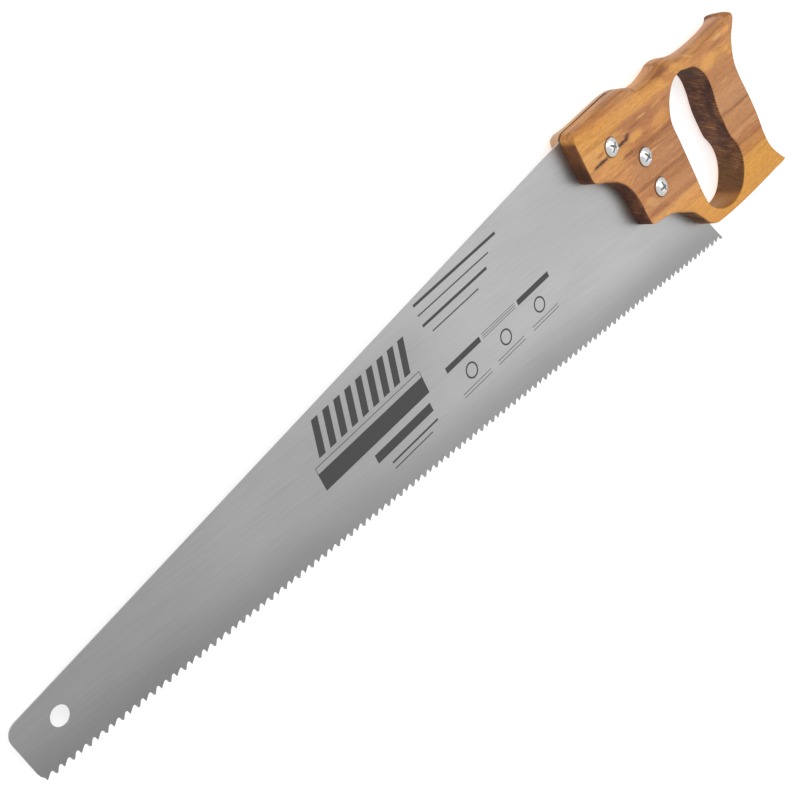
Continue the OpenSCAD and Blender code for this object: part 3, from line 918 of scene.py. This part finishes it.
def tooth_strip(bm, teeth, side, z):
    """Faces between the teeth and the root line; returns the tips and the root row, toe to heel."""
    tips = [
        bm.verts.new((x + side * lean * TOOTH_BEVEL, y, z + lean * TOOTH_SET)) for x, y, lean in teeth
    ]
    roots = []
    for x, _, _ in teeth:
        root_x = min(x, HEEL_ROOT[0])
        if roots and abs(roots[-1].co.x - root_x) < 1e-6:
            roots.append(roots[-1])
        else:
            roots.append(bm.verts.new((root_x, ROOT_LINE, z)))
    toe = bm.verts.new((*TOE_ROOT, z))
    bm.faces.new((toe, tips[0], roots[0]))
    for i in range(len(tips) - 1):
        bm.faces.new(list(dict.fromkeys([tips[i], tips[i + 1], roots[i + 1], roots[i]])))
    return tips, list(dict.fromkeys([toe] + roots))


def border_strip(bm, border, root_row, side, z):
    """A small chamfer along the border; returns its outer and inner rows, heel to toe."""
    outer = [root_row[-1]]
    inner = [root_row[-1]]
    for before, point, after in zip(border, border[1:], border[2:]):
        arriving = (Vector(point) - Vector(before)).normalized()
        leaving = (Vector(after) - Vector(point)).normalized()
        along = leaving + arriving
        inwards = Vector((-along.y, along.x)).normalized()
        x, y = point
        outer.append(bm.verts.new((x, y, z - side * CHAMFER)))
        inner.append(bm.verts.new((x + inwards.x * CHAMFER, y + inwards.y * CHAMFER, z)))
    outer.append(root_row[0])
    inner.append(root_row[0])
    for i in range(len(outer) - 1):
        bm.faces.new(list(dict.fromkeys([outer[i], outer[i + 1], inner[i + 1], inner[i]])))
    return outer, inner


def blade_holes(bm, side, z):
    """Chamfered edges of the round holes; returns the rings on the face and the ones inside."""
    wide_rings = []
    rims = []
    for centre, radius in [(HANG_HOLE, HANG_HOLE_R)] + [(fixing, BLADE_BORE_R) for fixing in FIXINGS]:
        wide = [(x, y, z) for x, y in circle_points(centre, radius + CHAMFER, BORE_STEPS)]
        rim = [(x, y, z - side * CHAMFER) for x, y in circle_points(centre, radius, BORE_STEPS)]
        wide_rings.append(add_ring(bm, wide))
        rims.append(add_ring(bm, rim))
        bridge(bm, wide_rings[-1], rims[-1])
    return wide_rings, rims


def make_blade():
    teeth = tooth_points()
    border = blade_border()
    bm = bmesh.new()
    faces = []
    for side, z in ((1, BLADE_FRONT), (-1, BLADE_BACK)):
        tips, root_row = tooth_strip(bm, teeth, side, z)
        outer, inner = border_strip(bm, border, root_row, side, z)
        wide_rings, rims = blade_holes(bm, side, z)
        fill_between(bm, [root_row + inner[1:-1]] + wide_rings)
        faces.append(([root_row[0]] + tips + [root_row[-1]], outer, rims))
    (teeth_a, outer_a, rims_a), (teeth_b, outer_b, rims_b) = faces
    bridge(bm, teeth_a, teeth_b, closed=False)
    bridge(bm, outer_a, outer_b, closed=False)
    for rim_a, rim_b in zip(rims_a, rims_b):
        bridge(bm, rim_a, rim_b)
    piece = new_object("blade_plate", bm, steel)
    smooth(piece, degrees=20)
    return piece


# ---------------------------------------------------------------- fixings
ROUND_STEPS = 64
DOME_STEPS = 12
SHANK_R = 2
SHANK_LENGTH = 12
PLAIN_SHANK = 2.6
THREAD_TURNS = 12
THREAD_PITCH = 0.7
THREAD_ROOT_R = 1.72
BARREL_R = 3.2
BARREL_LENGTH = 13.6
NUT_BORE_R = 2.1
NUT_FLOOR = 1.2
# Z from the top of the head, then width and length of the cross there
CROSS_LEVELS = [(0.6, 1.7, 9.4), (-0.35, 1.15, 7.6), (-1.3, 0.9, 3.6), (-1.9, 0.7, 1.6)]
# Z from the top of the head, then half the width of the slot there
SLOT_LEVELS = [(-1, 1.0), (0.35, 0.75), (1, 0.65)]
SLOT_REACH = 8
SCREW_TURNS = (53, 34, 14)
NUT_TURNS = (12, 70, 128)


def dome_profile(height):
    """(radius, height above the seat) of a domed head with a soft rim, from the seat to the top."""
    rise = height - HEAD_RIM
    radius = dome_radius(rise)
    points = [(HEAD_R - 0.25, 0), (HEAD_R - 0.07, 0.07), (HEAD_R, 0.25), (HEAD_R, HEAD_RIM - 0.15)]
    for k in range(DOME_STEPS, -1, -1):
        r = (HEAD_R - 0.12) * k / DOME_STEPS
        points.append((r, height - radius + math.sqrt(radius ** 2 - r ** 2)))
    return points


def turned(shape, centre, turn):
    """Points of a shape turned by some degrees and moved to a centre."""
    c, s = math.cos(math.radians(turn)), math.sin(math.radians(turn))
    return [(centre[0] + x * c - y * s, centre[1] + x * s + y * c) for x, y in shape]


def cross_shape(width, length):
    w, e = width / 2, length / 2
    return [
        (e, -w), (e, w), (w, w), (w, e), (-w, e), (-w, w),
        (-e, w), (-e, -w), (-w, -w), (-w, -e), (w, -e), (w, -w),
    ]


def cut_recess(piece, name, top, levels, centre, turn):
    """Cuts a recess that narrows with depth; levels: (z from the top of the head, shape)."""
    bm = bmesh.new()
    loft(bm, [[(x, y, top + z) for x, y in turned(shape, centre, turn)] for z, shape in levels])
    cut(piece, new_object(name, bm))
    smooth(piece, degrees=28)


def make_screw(place, centre, turn):
    shank = [(0, -SHANK_LENGTH), (SHANK_R - 0.3, -SHANK_LENGTH), (SHANK_R, 0.3 - SHANK_LENGTH)]
    for k in range(THREAD_TURNS):
        crest = 0.6 - SHANK_LENGTH + k * THREAD_PITCH
        shank += [(SHANK_R, crest), (THREAD_ROOT_R, crest + THREAD_PITCH / 2)]
    shank += [(SHANK_R, -PLAIN_SHANK), (SHANK_R, 0)]
    bm = bmesh.new()
    lathe(bm, centre, [(r, FRONT_FACE + z) for r, z in shank + dome_profile(SCREW_HEAD)], ROUND_STEPS)
    piece = new_object("screw_head_" + place, bm, zinc)
    levels = [(z, cross_shape(width, length)) for z, width, length in CROSS_LEVELS]
    cut_recess(piece, "cross_cutter", FRONT_FACE + SCREW_HEAD, levels, centre, turn)
    return piece


def make_nut(place, centre, turn):
    head = [(r, -z) for r, z in reversed(dome_profile(NUT_HEAD))]
    barrel = [
        (BARREL_R, 0), (BARREL_R, BARREL_LENGTH - 0.2), (BARREL_R - 0.2, BARREL_LENGTH),
        (NUT_BORE_R, BARREL_LENGTH), (NUT_BORE_R, NUT_FLOOR + 0.2), (NUT_BORE_R - 0.5, NUT_FLOOR),
        (0, NUT_FLOOR),
    ]
    bm = bmesh.new()
    lathe(bm, centre, [(r, BACK_FACE + z) for r, z in head + barrel], ROUND_STEPS)
    piece = new_object("nut_head_" + place, bm, zinc)
    levels = [
        (z, [(-SLOT_REACH, -half), (SLOT_REACH, -half), (SLOT_REACH, half), (-SLOT_REACH, half)])
        for z, half in SLOT_LEVELS
    ]
    cut_recess(piece, "driver_slot_cutter", BACK_FACE - NUT_HEAD, levels, centre, turn)
    return piece


def fit(piece, node):
    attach(piece, "root")
    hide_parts(node)


fit(make_handle(), "handle")
fit(make_blade(), "blade")
for place, centre, screw_turn, nut_turn in zip(FIXING_NAMES, FIXINGS, SCREW_TURNS, NUT_TURNS):
    fit(make_screw(place, centre, screw_turn), "saw_screw_" + place)
    fit(make_nut(place, centre, nut_turn), "barrel_nut_" + place)


# ---------------------------------------------------------------- studio, in metres
FLOOR_HALF = 6


def make_floor():
    bm = bmesh.new()
    bmesh.ops.create_grid(bm, x_segments=1, y_segments=1, size=FLOOR_HALF)
    mesh = bpy.data.meshes.new("floor")
    bm.to_mesh(mesh)
    bm.free()
    floor = bpy.data.objects.new("floor", mesh)
    bpy.context.scene.collection.objects.link(floor)
    material = bpy.data.materials.new("pale_floor")
    material.use_nodes = True
    shader = material.node_tree.nodes["Principled BSDF"]
    shader.inputs["Base Color"].default_value = (0.62, 0.62, 0.62, 1)
    shader.inputs["Roughness"].default_value = 0.9
    shader.inputs["Specular IOR Level"].default_value = 0.1
    shader.inputs["Emission Color"].default_value = (1, 1, 1, 1)
    shader.inputs["Emission Strength"].default_value = 0.62
    mesh.materials.append(material)


def make_light(name, location, target, size, energy):
    data = bpy.data.lights.new(name, "AREA")
    data.shape = "SQUARE"
    data.size = size
    data.energy = energy
    light = bpy.data.objects.new(name, data)
    light.location = location
    light.rotation_euler = (Vector(target) - Vector(location)).to_track_quat("-Z", "Y").to_euler()
    bpy.context.scene.collection.objects.link(light)


def make_camera():
    """The pinhole camera that was fitted to the tooth tips and the round holes."""
    data = bpy.data.cameras.new("camera")
    data.sensor_width = 36
    data.lens = 69.95
    data.shift_x = -0.000625
    data.shift_y = 0.000625
    camera = bpy.data.objects.new("camera", data)
    right = Vector((0.66138535, -0.34118658, 0.66795294))
    up = Vector((0.499913, 0.86442444, -0.05345454))
    back = right.cross(up)
    turn = Matrix((right, up, back)).transposed().to_4x4()
    camera.matrix_world = Matrix.Translation((-0.442, 0.24824, 0.5433)) @ turn
    bpy.context.scene.collection.objects.link(camera)
    bpy.context.scene.camera = camera


make_floor()
make_light("key", (-0.5, 1.1, 1.5), (0, 0, 0), 0.85, 7)
make_light("top", (0.55, 0.32, 1.25), (0.13, 0.02, 0), 0.8, 3)
make_light("fill", (1.2, -0.6, 1.4), (0.1, 0, 0), 1.4, 2.5)
make_camera()

world = bpy.data.worlds.new("studio")
bpy.context.scene.world = world
world.use_nodes = True
world.node_tree.nodes["Background"].inputs["Color"].default_value = (1, 1, 1, 1)
world.node_tree.nodes["Background"].inputs["Strength"].default_value = 0.72
bpy.context.scene.view_settings.view_transform = "Standard"
